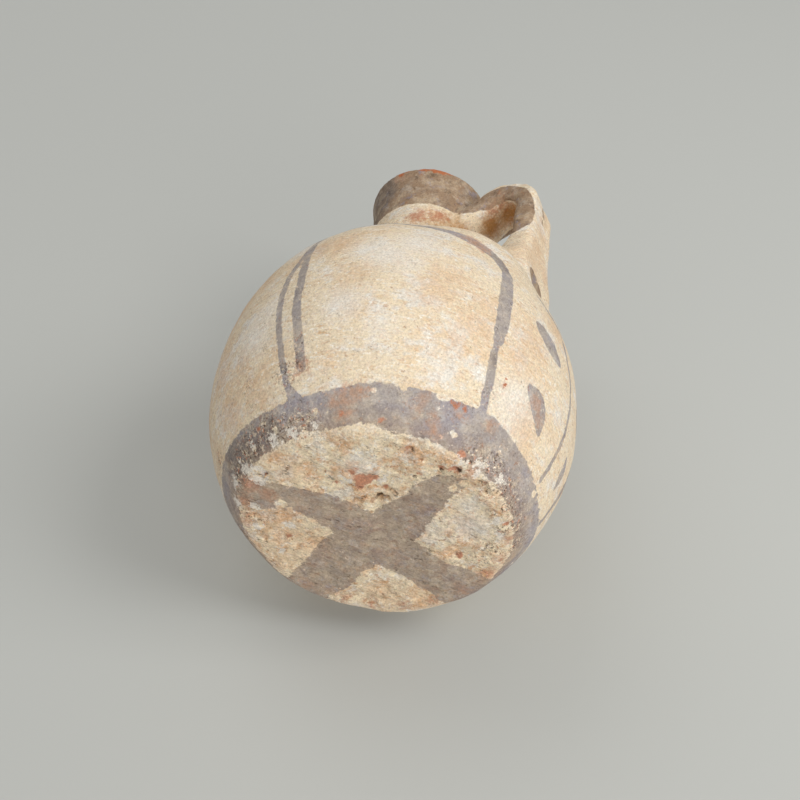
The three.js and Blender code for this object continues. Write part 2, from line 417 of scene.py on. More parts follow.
# Places where the torn base has lost its skin or has holes: x, y, reach and depth, and their reach upward
BASE_FLAKES = [
    (4.6, -14.8, 3.6, 0.9), (7.2, -14.4, 1.6, 0.6), (3.4, -17.6, 1.8, 0.6), (-1.5, -15.5, 1.4, 0.6),
    (8, -10.8, 1.4, 0.7), (21.6, -12.9, 1.7, 0.9), (24.3, -12.1, 1.7, 0.9), (16.4, -13.1, 1.4, 0.7),
    (17.6, -20.2, 1.4, 0.9), (20.7, -21.5, 1.4, 0.8), (28, -14.8, 2, 0.7), (-15.4, -22.6, 2.2, 0.6),
    (5.2, -8.1, 1.3, 2.6), (6.6, -7.8, 1.1, 2), (27.6, -6.9, 1.1, 1.8), (28.3, -5.6, 1.1, 1.8),
    (28, 7.6, 2.4, 0.6), (14.5, 13.5, 3, 0.6), (-22, -4, 4, 0.6), (-14, 2, 3, 0.4), (24, 2, 2.2, 0.5),
]
FLAKE_HEIGHT = 4

# Cracks of the base, from end to end, and the reach, depth and number of the notches that each is made of
BASE_CRACKS = [
    ((17.4, -23.4), (20, -20.6)), ((19.2, -11.2), (24.6, -8)), ((10.2, -16.2), (13.4, -15.6)),
    ((24.8, -7.6), (28.4, -3)), ((-20, -2), (-12, -3)), ((14, 6), (21, 4)),
]
CRACK_REACH = 0.9
CRACK_DEPTH = 0.5
CRACK_NOTCHES = 9


def knocks():
    """Uneven places of the real jug: a base edge thumbed out on one side, the shoulder raised by the clay of
    the handle's foot, a chipped rim, and the flakes, holes and cracks of the base."""
    marks = []
    for azimuth, radius, height, reach, push in BASE_BULGES:
        way = np.append(direction(azimuth), 0)
        marks.append((way * radius + (0, 0, height), reach, way * push))
    for azimuth, height, reach, push in SHOULDER_SWELLS:
        way = np.append(direction(azimuth), SWELL_RISE)
        marks.append((on_side(azimuth, height), reach, way / np.linalg.norm(way) * push))
    for azimuth, reach, depth in RIM_CHIPS:
        place = np.append(direction(azimuth) * (RIM_RADIUS - LIP_WALL / 2), RIM_HEIGHT)
        marks.append((place, reach, (0, 0, -depth)))
    cracks = [(x, y, CRACK_REACH, CRACK_DEPTH)
              for ends in BASE_CRACKS for x, y in np.linspace(*ends, CRACK_NOTCHES)]
    for x, y, reach, depth in BASE_FLAKES + cracks:
        marks.append((np.array([x, y, 0]), np.array([reach, reach, FLAKE_HEIGHT]), (0, 0, depth)))
    return marks


# The torn underside: between which heights and radii it ends, which way it was scraped, and how drawn out
TORN_HEIGHTS = (0.8, 3.0)
TORN_EDGE = (26.5, 30.5)
SCRAPED_AZIMUTH = 47
SCRAPED_STRETCH = 1.5


def tear_underside(jug):
    """Roughens the underside, less near its edge, and scales layers off it, fewer under the cross."""
    places = vertex_places(jug)
    to_edge = smooth_step(np.hypot(places[:, 0], places[:, 1]), *TORN_EDGE)
    under = (1 - smooth_step(places[:, 2], *TORN_HEIGHTS)) * (1 - 0.75 * to_edge)
    crossed = depth_in(places * (1, 1, 0), cross_samples())
    torn = under * (1 - 0.6 * smooth_step(crossed, -0.6, 0.4))
    scraped = weigh(jug, "underside", under)
    relief(jug, 6.0, 1.0, group=scraped, stretch=(SCRAPED_STRETCH, SCRAPED_AZIMUTH), noise_depth=2)
    flake_off(jug, 9.0, 0.34, torn)
    relief(jug, 2.4, 0.95, group=weigh(jug, "torn", torn), noise_depth=3)


def model_clay():
    """The whole jug as one skin of clay: vessel and handle joined, hollowed, smoothed and roughened."""
    jug = raise_rings(np.vstack([OUTSIDE, [(RIM_RADIUS - LIP_WALL / 2, RIM_HEIGHT)]]), "jug")
    strap = pull_strap()
    cavity = raise_rings(cavity_profile(), "cavity")
    for tool, operation in ((strap, "UNION"), (cavity, "DIFFERENCE")):
        combine(jug, tool, operation)
        bpy.data.objects.remove(tool)
    apply_modifier(jug, "REMESH", mode="VOXEL", voxel_size=VOXEL, use_smooth_shade=True)
    apply_modifier(jug, "SMOOTH", factor=0.5, iterations=5)

    # The handle's ends thumbed into the vessel
    places = vertex_places(jug)
    luting = np.max([
        1 - smooth_step(np.linalg.norm((places - place) / stretch, axis=1), near, far)
        for place, stretch, near, far in LUTED], axis=0)
    apply_modifier(jug, "SMOOTH", factor=0.5, iterations=22, vertex_group=weigh(jug, "luting", luting))

    # Unevenness of the hand-built wall, the wiped skin, the pinched strap, the torn base and the fine grain
    relief(jug, 20, 0.7, noise_depth=1)
    relief(jug, 5, 0.22, noise_depth=2)
    places = vertex_places(jug)
    pinched = smooth_step(places[:, 0], *PINCHED_OUT) * smooth_step(places[:, 2], *PINCHED_UP)
    relief(jug, 4.5, 0.9, group=weigh(jug, "strap", pinched), noise_depth=1)
    tear_underside(jug)
    relief(jug, 1.6, 0.14, noise_depth=2)
    press_clay(jug, knocks())
    return jug


def part_off(clay, cutter):
    """Cuts off the part of the clay that lies in a cutter, as a closed piece of its own."""
    piece = clay.copy()
    piece.data = clay.data.copy()
    bpy.context.scene.collection.objects.link(piece)
    combine(piece, cutter, "INTERSECT")
    combine(clay, cutter, "DIFFERENCE")
    bpy.data.objects.remove(cutter)
    return piece


def block(low, high):
    """A block between two corners, as a cutter."""
    low, high = np.array(low, float), np.array(high, float)
    bpy.ops.object.select_all(action="DESELECT")
    bpy.ops.mesh.primitive_cube_add(size=1, location=(low + high) / 2, scale=high - low)
    bpy.ops.object.transform_apply(location=True, scale=True)
    return bpy.context.object


def slab(bottom, top):
    """A cutter for all of the vessel between two heights."""
    return block((-CUT_REACH, -CUT_REACH, bottom), (CUT_REACH, CUT_REACH, top))


def outside_the_vessel():
    """A cutter for all that stands proud of the vessel on the handle's side."""
    grown = OUTSIDE + (STAND_OFF, 0)
    grown[:, 1] += np.where(OUTSIDE[:, 1] > BELLY_HEIGHT, STAND_OFF_ABOVE, -STAND_OFF)
    vessel = raise_rings(np.vstack([grown, [(RIM_RADIUS, RIM_HEIGHT + CLEAR)]]), "vessel")
    low, (far, side, _) = HANDLE_ROOM
    room = block(low, (far, side, RIM_HEIGHT - HANDLE_TOP))
    combine(room, vessel, "DIFFERENCE")
    bpy.data.objects.remove(vessel)
    return room


def split_clay(clay):
    """The jug taken apart into the lumps that the potter joined, by the names of the frame's solids."""
    handle = part_off(clay, outside_the_vessel())
    low, (far, side, top) = HANDLE_ROOM
    above_foot = (*low[:2], FOOT_WAD_TOP)
    pieces = {
        "base_disc": part_off(clay, raise_rings(BASE_SEAT, "seat")),
        "lower_body": part_off(clay, slab(-CLEAR, BELLY_HEIGHT)),
        "lip": part_off(clay, slab(LIP_FOOT_HEIGHT, RIM_HEIGHT + CLEAR)),
        "neck": part_off(clay, raise_rings(NECK_SEAT, "seat")),
        "upper_body": clay,
        "lower_luting_wad": part_off(handle, block(low, (far, side, FOOT_WAD_TOP))),
        "upper_luting_wad": part_off(handle, block(above_foot, (SPRING_WAD_END, side, top))),
        "strap_handle": handle,
    }
    for node, piece in pieces.items():
        piece.name = node + "_clay"
    return pieces


# Brush strokes on the side of the jug, as azimuths in degrees from the handle, heights and half widths.
# The pair of lines and the stripe that face up in the lying pose come first, then the ring on the shoulder.
SIDE_STROKES = [
    [(-97, 64, 0.9), (-97, 52, 1.1), (-97.6, 47, 0.8), (-99.5, 38, 0.85), (-99.6, 30, 0.85),
     (-98.5, 21, 0.85), (-97, 13, 0.9), (-96.2, 9.5, 0.9), (-93.5, 6, 1.7)],
    [(-96.6, 53, 1), (-95.6, 47.5, 1.05), (-94, 38, 1.1), (-93.2, 28, 1.1), (-91.8, 21, 1.15),
     (-90.5, 12.5, 1.1)],
    [(-29, 8.5, 0.9), (-30, 13, 1.05), (-31.2, 19, 1.05), (-31.6, 23.5, 0.85), (-31.2, 26, 1.4),
     (-31, 31, 1.7), (-30.4, 39, 1.9), (-29.6, 46, 1.6), (-29.6, 50, 1.5), (-32, 54, 1.6), (-37, 56.8, 1.8),
     (-44, 58.6, 1.8), (-52, 60, 1.4), (-60, 61.4, 1.1), (-75, 62.4, 1), (-97, 63, 1), (-120, 63.5, 1),
     (-150, 63, 1.1), (-180, 63.5, 1), (-210, 63, 1.1), (-240, 62.5, 1), (-270, 63, 1), (-300, 62, 1.1),
     (-320, 59, 1.2), (-332, 55, 1.3)],
    [(-3, 48.5, 0.5), (1, 40, 0.6), (5, 31, 0.6), (7.5, 21, 0.6), (8.5, 9, 0.7)],
    [(-13.5, 52.4, 0.6), (-8, 50.5, 0.8), (-2.6, 48.7, 0.6)],
    [(28, 55, 1.3), (30, 47, 1.7), (31, 37, 1.9), (30, 25, 1.5), (29, 14, 1.1), (29.5, 8, 1)],
    [(80, 63, 1), (78, 50, 1), (79, 38, 1), (77, 24, 1), (78, 7, 1.3)],
    [(80, 58, 1), (83.5, 48, 1), (85, 36, 1.1), (84, 22, 1), (83, 11, 0.9)],
    [(122, 62, 1.3), (121, 50, 1.7), (123, 36, 2), (121, 22, 1.4), (122, 7, 1.2)],
    [(188, 62.5, 1), (186, 50, 0.9), (187, 36, 1), (185, 22, 1), (186, 7, 1.2)],
    [(188, 57, 1), (191, 46, 1), (192, 34, 1), (191, 20, 1), (190, 9, 1)],
]

# Leaf-shaped dabs below the handle and in the panel behind, as the strokes above
SIDE_LEAVES = [
    [(-17, 38.4, 1), (-14, 37, 2.3), (-9.8, 35.2, 2.4), (-5.4, 33.6, 0.9)],
    [(-15.6, 19.6, 1.2), (-12.4, 18.8, 2.4), (-9, 17, 2.4), (-5.8, 13.8, 0.8)],
    [(101, 54, 0.6), (103, 50, 1.6), (104, 46, 0.5)],
    [(100, 38, 0.6), (102.5, 34, 1.9), (104, 29.5, 0.5)],
    [(101, 21, 0.6), (103, 17.5, 1.7), (104, 13.5, 0.5)],
    [(18, 37, 0.6), (20, 33, 1.7), (21, 29.5, 0.5)],
    [(17, 20, 0.6), (19, 16.5, 1.6), (20, 13, 0.5)],
]

# The crossed bars on the base: x, y and half widths
BASE_STROKES = [
    [(-25, -21, 2.4), (-22.5, -19, 3.1), (-19.3, -17.5, 4), (-15.6, -15.7, 4.2), (-11.8, -13.4, 3.9),
     (-7, -8.2, 4.9), (-3.2, -1, 6), (-0.8, 5, 6.5), (1.6, 11.2, 6.2), (4.2, 16, 5.7), (6.6, 20.8, 6.2),
     (10, 26, 7), (11.8, 30, 7.2)],
    [(24.5, -8.4, 1.2), (21.3, -7.8, 2.8), (17.3, -7, 3.9), (14.6, -4.8, 4.3), (10, -2.4, 4.8),
     (5.5, 0.4, 5.9), (-1.4, 3.3, 6.5), (-7.7, 5.7, 6.8), (-12.5, 8, 6.3), (-17.3, 11.5, 6.3),
     (-21, 13.5, 5.9), (-24, 15, 5.6), (-27.5, 16.8, 5.5)],
]

# Places where the bars are worn away: x, y and radius
BASE_WORN = [(-16.4, -13, 1.4), (-15.2, -11.4, 1), (22, -6.9, 1.1), (24, -7, 0.8), (-20.5, -20.6, 0.8)]

# Paint along the strap's edge towards the lying side, mirrored to the other edge, and dabs on its outer face
STRAP_EDGE = [
    (13.5, -5.5, 98.6, 1.8), (17, -6.2, 100, 2), (22, -6.5, 102.2, 2.6), (26.2, -6.7, 102.6, 2.4),
    (29.4, -6.7, 100.2, 2.6), (31.2, -6.6, 96, 2.8), (31.6, -6.6, 90, 3), (30.6, -6.6, 86.8, 3),
    (28, -6.9, 84.2, 2),
]
STRAP_DABS = [
    [(35, -0.9, 97.9, 0.8), (35, -0.3, 95.6, 0.9)],
    [(35, -0.8, 93.2, 0.6), (35, -0.6, 92.4, 0.6)],
    [(35.2, -5.6, 67.6, 1.2), (35.6, -3.4, 67.2, 2.8), (35.8, -0.6, 66.6, 2.6), (35.8, 2.2, 66.2, 1)],
]

# Upper edge of the band round the base, as azimuths and heights, and its inner edge on the base, as azimuths
# and ways along the outside from the middle of the base
BAND_TOP = [
    (-150, 7.2), (-120, 7), (-100, 6.6), (-80, 7.2), (-65, 8.5), (-36, 8.7), (-25, 9.4), (-10, 8.1),
    (15, 6.9), (60, 7.8), (110, 8.4), (160, 7.4),
]
BAND_INNER = [
    (-150, 30), (-115, 30.4), (-95, 30.3), (-76, 30.8), (-71, 31.7), (-64, 31.3), (-57, 30.2), (-45, 31),
    (-36, 30.6), (-28, 30.2), (0, 30.6), (30, 30.4), (60, 30.6), (85, 32.4), (110, 33.6), (135, 32.4),
    (160, 30), (185, 29.6),
]

# Chips through the paint of the band to the slip: azimuth, height and radius
BAND_CHIPS = [
    (-56.3, 8.3, 0.9), (-58.4, 8.5, 0.6), (-65.8, 6.9, 0.5), (-44, 8.5, 0.9), (-41.6, 8.6, 0.6),
    (-43.2, 6.2, 0.6), (-86.9, 3.9, 0.6), (-82.6, 3.5, 0.5), (-92.8, 0.9, 0.7), (-35.6, 3.3, 0.6),
    (-104, 3, 0.7), (-118, 2.4, 0.6), (-16, 5, 0.6), (10, 6.2, 0.7), (48, 4, 0.6), (95, 7.6, 0.9),
    (140, 3.6, 0.7), (175, 6.6, 0.8),
]

# Lower edge of the painted lip outside, and the edge of the paint inside the mouth
LIP_PAINT_FOOT = 98.5
LIP_PAINT_INSIDE = 105.5

# Spots of all kinds. On the base they are x, y and radius, on the side azimuth, height and radius, and in the
# handle place and radius. First the bare red clay
BASE_BARE = [
    (4.6, -14.8, 2), (6.8, -14.6, 1.2), (3, -13.4, 1.1), (3.4, -17.8, 0.8), (4.8, -18.9, 0.5),
    (-1.5, -15.5, 0.7), (8, -10.8, 0.7), (21.6, -12.9, 0.9), (24.3, -12.1, 1), (16.4, -13.1, 0.6),
    (17.6, -20.2, 0.7), (20.7, -21.5, 0.7), (-15.4, -22.6, 0.8), (28, 7.6, 0.8), (-20, -3, 0.6),
    (14, 15, 0.7),
]
SIDE_BARE = [
    (-25, 16.2, 0.5), (-25.6, 17.6, 0.3), (-28.4, 1, 1), (-112, 4.6, 0.6), (-77, 2.9, 0.5),
    (-62.3, 2.1, 0.5), (-39.8, 8.2, 0.4), (-37.6, 8.1, 0.7), (-35.2, 7.9, 0.5), (-95, 111.6, 0.8),
    (-88, 112.6, 0.8), (-73, 112.9, 1.3), (-67, 112.8, 1.8), (-60, 112.6, 2.1), (-53, 112.6, 2.1),
    (-46, 112.8, 1.7), (-40, 113.1, 0.9), (100, 112.6, 1.2), (172, 112.8, 1),
]

# Iron red, where the brown paint fired red or rubbed thin, and stains of the same colour
SIDE_RED = [
    (-41, 58, 1.6), (-37.6, 56.8, 1.6), (-44, 58.8, 1), (-73, 93.2, 2), (-68, 93.8, 1.8), (-51, 94.2, 1.8),
    (-47, 94.8, 1.6), (-90.4, 12.6, 1), (-80, 5, 0.8), (-76, 5.4, 1.5), (-72.5, 6.2, 1.5), (-70, 6.8, 0.8),
    (-75, 3, 0.9), (-49.6, 5.8, 0.9), (-48.8, 7.2, 0.7), (-44, 4.4, 0.8), (-43, 2.6, 0.9), (-36, 6.4, 0.6),
    (-77, 2.9, 1), (-24, 7.6, 0.8), (-95, 111, 1.4), (-11.5, 18.2, 1.4), (-8, 16, 1),
]
BASE_RED = [
    (-19.5, -20.5, 2.2), (-17.5, -17, 1.6), (-26.5, -10, 1.2), (17.5, 22.5, 1), (22.5, 18.5, 1),
    (26.5, 12, 1), (-24, -16, 1.4), (27.5, -10, 1), (-24.2, 14, 0.6), (-18, 21.4, 0.8), (-12.7, 25, 0.8),
    (-5.8, 27.4, 0.8), (2, 28, 0.8), (10, 26.1, 0.8),
]
STRAP_RED = [(21.5, -4, 99.4, 1.2), (24, -4, 100.2, 1.4)]

# Ochre soil left inside the handle's loop, and painted shade there and round the neck below it, where the
# loop gets little light
LOOP_SOIL_AND_SHADE = [
    (0, 0, 91, 12.6), (3, 0, 92, 12.4), (28.6, -1, 93, 4), (28, 0, 87, 4), (25.5, 0, 100, 3.6),
    (20, 0, 98.5, 3.2), (16, 0, 91, 3.6), (17, 0, 84, 4), (23, 0, 82, 4),
]

# Chalky lime crust from the ground
SIDE_LIME = [
    (-128, 1.2, 1.4), (-140, 2, 1), (-150, 1, 1.2), (-107, 1.8, 1.2), (-98, 1.6, 1), (-88, 1.8, 0.8),
    (-20, 1.2, 1), (-8, 1.5, 1), (-60, 8.6, 0.4), (-118, 3, 0.6),
]
BASE_LIME = [
    (-16.5, -21, 1.2), (-18, -6, 1), (-24, 1, 1), (26.5, -13.6, 0.8), (0.6, -15.8, 1), (8.6, -12.8, 1),
    (8.8, -18.4, 1), (7, -22.2, 1), (24.5, -17.8, 0.6), (-22, -14, 1), (22, 8, 0.8), (27, 6, 1),
    (25, 11, 0.8), (28.3, -9, 0.9), (-25.5, -8, 1.2), (-15.8, -24.3, 1.4), (-17.6, -21.8, 1.2),
]

# Large soft places where the slip is chalky or stained, and where the paint fired dark
SIDE_CHALK = [
    (-68, 42, 5), (-74, 45, 4), (-60, 48, 5), (-62, 39, 3), (-47, 14, 2), (-109, 25, 5), (-104, 30, 3),
    (-66, 20, 2), (-78, 26, 4), (-18, 14, 6), (-100, 54, 4), (40, 30, 7), (110, 20, 7), (150, 48, 6),
    (170, 22, 6),
]
BASE_CHALK = [(20, 6, 4), (23, 0, 2), (12, 4, 2), (6, -19, 3)]
SIDE_STAIN = [
    (-92, 49, 4), (-85, 49, 4), (-98, 46, 3), (-39, 26, 5), (-36, 33, 4), (-43, 21, 3), (-52, 32, 5),
    (-49, 37, 4), (-111, 13, 3), (-124, 11.5, 4), (-115, 19, 3), (-20, 32, 5), (-12, 12, 4), (-76, 35, 3),
    (-107, 9, 2), (-5, 45, 5), (60, 45, 7), (95, 40, 6), (135, 15, 5), (165, 38, 6), (-150, 25, 6),
    (-125, 15, 2.4), (-144, 10, 2.6), (-126, 29, 4), (-129, 42, 5), (-127, 22, 3.5), (-112, 46, 4),
    (-24, 24, 4),
]
# On the base the stains also stand for painted shade: they darken its left and lower side, away from the
# light
BASE_STAIN_AND_SHADE = [(-21, -6, 6), (-16, 1, 5), (-25, 4, 4), (-9, 23, 5), (-1, 26, 4), (-9, -22, 4)]
STRAP_STAIN = [(33, -5, 72, 5), (34.5, -2, 79, 5), (35, 0, 88, 4), (34, 5, 76, 4), (35, 2, 97, 2.5)]
SIDE_DARK = [
    (-91, 13.5, 1.2), (-97, 14, 1.2), (-32.5, 54.6, 1.4), (-30, 51, 1.6), (-31, 20, 1.5), (-120, 3, 4.5),
    (-132, 3.5, 5), (-108, 3.5, 3.5), (-125, 107, 6), (-138, 104, 6), (-114, 110, 4), (78, 30, 2),
    (122, 40, 3), (186, 20, 3),
]

# Crumbling places of the band and of the base, where grains of slip and clay show
SIDE_CRUMBS = [
    (-92, 2.4, 3), (-100, 2.6, 3.4), (-108, 3.4, 3.4), (-117, 3.4, 3.4), (-126, 2.6, 3.2), (-136, 2, 3),
    (-24, 1.6, 2.4), (-15, 2.4, 3), (-5, 1.6, 3), (6, 1, 3), (17, 1, 2.6), (30, 1, 2.4), (110, 1.5, 2.4),
    (135, 1, 2.4), (160, 1.2, 2.2), (190, 1.5, 2.2), (75, 1.5, 2), (-97, 12.8, 1.8), (-95.8, 10.6, 1.6),
    (-91.4, 13.2, 1.3), (-92, 16.2, 0.6), (-92, 18.8, 0.5), (-29.4, 12.6, 0.8), (-112.8, 13.9, 0.7),
    (-144, 9, 1.4),
]
BASE_CRUMBS = [
    (26.2, 8.7, 2.2), (21.8, 13.8, 2.2), (18.1, 17.1, 1.8), (27.6, -12.7, 2.4), (23.6, -11.3, 1.6),
    (28.5, -3, 2), (28.5, 3, 2), (-24.9, -11.7, 2), (-22.7, -9.2, 1.6), (-17.8, -22.3, 1.8), (-24, -17, 1.6),
]

# Painted shade in holes of the base, as dark spots
BASE_PIT_SHADE = [
    (5.2, -8.1, 0.8), (6.6, -7.8, 0.6), (27.7, -6.8, 0.6), (28.3, -5.5, 0.6), (18.2, -19.9, 0.5),
    (21.4, -12.2, 0.5), (25.2, -11.6, 0.5), (15.6, -12.6, 0.4), (7.4, -15.8, 0.4), (-15, -22.2, 0.4),
    (-9, -16, 0.3), (20, 10, 0.3),
]

# The kinds of spots, each with those on the side, on the base and in the handle
SPOTS = {
    "bare": (SIDE_BARE, BASE_BARE, []),
    "red": (SIDE_RED, BASE_RED, STRAP_RED),
    "lime": (SIDE_LIME, BASE_LIME, []),
    "soil_and_shade": ([], [], LOOP_SOIL_AND_SHADE),
    "pit_shade": ([], BASE_PIT_SHADE, []),
    "crumbs": (SIDE_CRUMBS, BASE_CRUMBS, []),
    "chalk": (SIDE_CHALK, BASE_CHALK, []),
    "stain_and_shade": (SIDE_STAIN, BASE_STAIN_AND_SHADE, STRAP_STAIN),
    "dark": (SIDE_DARK, [], []),
}

# All that is worked out for each vertex and read by the material
FIELDS = ("paint", *SPOTS, "underside", "inside", "browned", "rubbed")

# How far from a stroke or spot its field is worked out, in millimetres
FIELD_REACH = 3.0

# How far the strap stands proud of the vessel and the inside lies below its outside, at the least
STRAP_PROUD = 1.3
INSIDE_DEPTH = 2.0

# How brown the paint fired on the base, and the ways from its middle at which that ends and the rubbing ends
BASE_BROWNED = 0.6
BROWNED_RUN = (29, 38)
RUBBED_RUN = (33, 46)


def stroke(points, steps=28):
    """A smooth brush stroke through a few points, as close samples between each two of them."""
    points = np.array(points, float)
    ways = np.gradient(points, axis=0)
    t = np.linspace(0, 1, steps)[:, None]
    return [(2 * t**3 - 3 * t**2 + 1) * points[i] + (t**3 - 2 * t**2 + t) * ways[i]
            + (3 * t**2 - 2 * t**3) * points[i + 1] + (t**3 - t**2) * ways[i + 1]
            for i in range(len(points) - 1)]


def side_samples(rows):
    """Azimuths, heights and half widths as places on the outside, each with its half width."""
    azimuth, height, half_width = np.array(rows, float).reshape(-1, 3).T
    return np.column_stack([on_side(azimuth, height), half_width])


def base_samples(rows):
    """Places and half widths on the flat of the base."""
    x, y, half_width = np.array(rows, float).reshape(-1, 3).T
    return np.column_stack([x, y, np.zeros(len(x)), half_width])


def cross_samples():
    """The crossed bars on the base as samples."""
    return [base_samples(part) for points in BASE_STROKES for part in stroke(points)]


def depth_in(places, sample_sets):
    """How far inside the nearest stroke or spot each place is, in millimetres, and negative outside."""
    depth = np.full(len(places), -FIELD_REACH)
    for samples in filter(len, sample_sets):
        margin = FIELD_REACH + samples[:, 3].max()
        low, high = samples[:, :3].min(0) - margin, samples[:, :3].max(0) + margin
        near = np.flatnonzero(((places > low) & (places < high)).all(1))
        for x, y, z, half_width in samples:
            inside = half_width - np.linalg.norm(places[near] - (x, y, z), axis=1)
            depth[near] = np.maximum(depth[near], inside)
    return depth


def surface_fields(places):
    """How deep each vertex of a piece lies in the paint and in each kind of spot, and how much it belongs to
    the underside, the inside, the brown paint and the rubbed places."""
    radius, height = np.hypot(places[:, 0], places[:, 1]), places[:, 2]
    azimuth = np.degrees(np.arctan2(places[:, 1], places[:, 0]))
    proud = radius - radius_at(height)
    on_strap = (proud > STRAP_PROUD) & (height > SHOULDER_HEIGHT - 20) & (places[:, 0] > 5)
    inside = (proud < -INSIDE_DEPTH) & (height > FOOT[1]) & ~on_strap
    edge_run = np.interp(radius + height, np.append(0, OUTSIDE.sum(axis=1)), np.append(0, OUTSIDE_RUN))
    side_run = np.interp(height, OUTSIDE[:, 1], OUTSIDE_RUN)
    run = np.where(height < FOOT[1] + 1, edge_run, side_run)
    under = (run < FLAT_RADIUS + 1.5) & (height < FOOT[1])
    skin = on_side(azimuth, height)
    skin[under] = places[under] * (1, 1, 0)
    skin[on_strap | inside] = places[on_strap | inside]

    side = [side_samples(part) for points in SIDE_STROKES + SIDE_LEAVES for part in stroke(points)]
    other_edge = [(x, -y, z, half_width) for x, y, z, half_width in STRAP_EDGE]
    strap = [part for points in [STRAP_EDGE, other_edge] + STRAP_DABS for part in stroke(points)]
    crossed = np.minimum(depth_in(skin, cross_samples()), -depth_in(skin, [base_samples(BASE_WORN)]))
    painted = np.maximum(depth_in(skin, side + strap), crossed)
    band_top = np.interp(azimuth, *np.transpose(BAND_TOP), period=360)
    band_inner = np.interp(azimuth, *np.transpose(BAND_INNER), period=360)
    band = np.minimum(run - band_inner, np.interp(band_top, OUTSIDE[:, 1], OUTSIDE_RUN) - run)
    band = np.minimum(band, -depth_in(skin, [side_samples(BAND_CHIPS)]))
    band[inside] = -FIELD_REACH
    lip = height - np.where(inside, LIP_PAINT_INSIDE, LIP_PAINT_FOOT)
    zones = np.where(on_strap, -FIELD_REACH, np.maximum(band, lip))

    brown_base = BASE_BROWNED * (1 - smooth_step(run, *BROWNED_RUN))
    rubbed_rim = 0.5 * smooth_step(height, RIM_HEIGHT - 3, RIM_HEIGHT)
    fields = {
        "paint": np.clip(np.maximum(painted, zones), -FIELD_REACH, FIELD_REACH),
        "underside": 1 - smooth_step(run, FLAT_RADIUS, FLAT_RADIUS + 3),
        "inside": inside.astype(float),
        "browned": np.where(on_strap | (height > LIP_PAINT_FOOT - 2), 1, brown_base),
        "rubbed": np.maximum(rubbed_rim, 1 - smooth_step(run, *RUBBED_RUN)),
    }
    for name, (on_wall, on_base, in_handle) in SPOTS.items():
        free = np.array(in_handle, float).reshape(-1, 4)
        fields[name] = depth_in(skin, [side_samples(on_wall), base_samples(on_base), free])
    return fields


def linear(code):
    """An sRGB hex colour as linear RGBA."""
    parts = [int(code[i : i + 2], 16) / 255 for i in (1, 3, 5)]
    return [c / 12.92 if c <= 0.04045 else ((c + 0.055) / 1.055) ** 2.4 for c in parts] + [1]


def add_node(tree, kind, inputs, **settings):
    """Adds a shader node with its options. An input given a node is linked to that node's output in use."""
    made = tree.nodes.new("ShaderNode" + kind)
    for name, value in settings.items():
        setattr(made, name, value)
    for name, value in inputs.items():
        sockets = [s for s in made.inputs if s.enabled]
        socket = made.inputs[name] if isinstance(name, int) else next(s for s in sockets if s.name == name)
        if isinstance(value, bpy.types.Node):
            value = next(s for s in value.outputs if s.enabled)
        if isinstance(value, bpy.types.NodeSocket):
            tree.links.new(value, socket)
        else:
            socket.default_value = value
    return made


def clouds(tree, place, grain, low, high, strength=1.0, seed=0.0):
    """A cloudy pattern of a grain size in millimetres, from nothing at a low level to full at a high one."""
    pattern = add_node(tree, "TexNoise", {
        "Vector": place, "W": seed + grain, "Scale": 1 / grain, "Detail": 5, "Roughness": 0.68,
    }, noise_dimensions="4D")
    return add_node(tree, "MapRange", {
        "Value": pattern, "From Min": low, "From Max": high, "To Max": strength,
    }, interpolation_type="SMOOTHSTEP")


def lay_coats(tree, ground, coats):
    """A ground with coats laid over it one by one, each given as where it lies and its colour."""
    for where, coat in coats:
        coat = linear(coat) if isinstance(coat, str) else coat
        ground = add_node(tree, "Mix", {"Factor": where, "A": ground, "B": coat}, data_type="RGBA")
    return ground


def mottle(tree, place, ground, patches):
    """A ground colour with cloudy patches over it. Each is a colour, its grain in millimetres, how many times
    that is flattened along the jug's axis, the levels between which it fades in, and its strength."""
    coats = []
    for seed, (colour, grain, flat, low, high, strength) in enumerate(patches):
        flattened = add_node(tree, "Mapping", {"Vector": place, "Scale": (1, 1, flat)})
        coats.append((clouds(tree, flattened, grain, low, high, strength, 3.7 * seed), colour))
    return lay_coats(tree, linear(ground), coats)


# Cream slip, rubbed and stained: warm and chalky clouds, wiping streaks, orange scuffs and chalky flecks.
# It is a ground colour and its patches, and so are the next ones
SLIP = ("#eedcbd", [
    ("#e8c8a0", 13, 1.3, 0.48, 0.66, 0.65),
    ("#ebe6dc", 8, 1.5, 0.51, 0.63, 0.8),
    ("#dcbb90", 5, 6, 0.54, 0.66, 0.6),
    ("#f5eee0", 3, 5, 0.53, 0.64, 0.6),
    ("#cfa47c", 2.4, 3, 0.56, 0.65, 0.6),
    ("#fbf7ee", 1.1, 1.3, 0.57, 0.63, 0.65),
    ("#a97a56", 1, 1.6, 0.59, 0.66, 0.65),
])

# Torn underside of the base: the same slip, soaked ochre and scuffed, with grains of clay
BASE = ("#f6e3c0", [
    ("#dca878", 7, 1, 0.47, 0.62, 0.75),
    ("#ebe5d8", 5, 1, 0.53, 0.63, 0.65),
    ("#c68c5a", 2.6, 1, 0.54, 0.63, 0.65),
    ("#fdf5e4", 1.4, 1, 0.54, 0.61, 0.7),
    ("#a86b40", 1.3, 1, 0.59, 0.65, 0.7),
    ("#5f4630", 0.8, 1, 0.62, 0.67, 0.75),
])

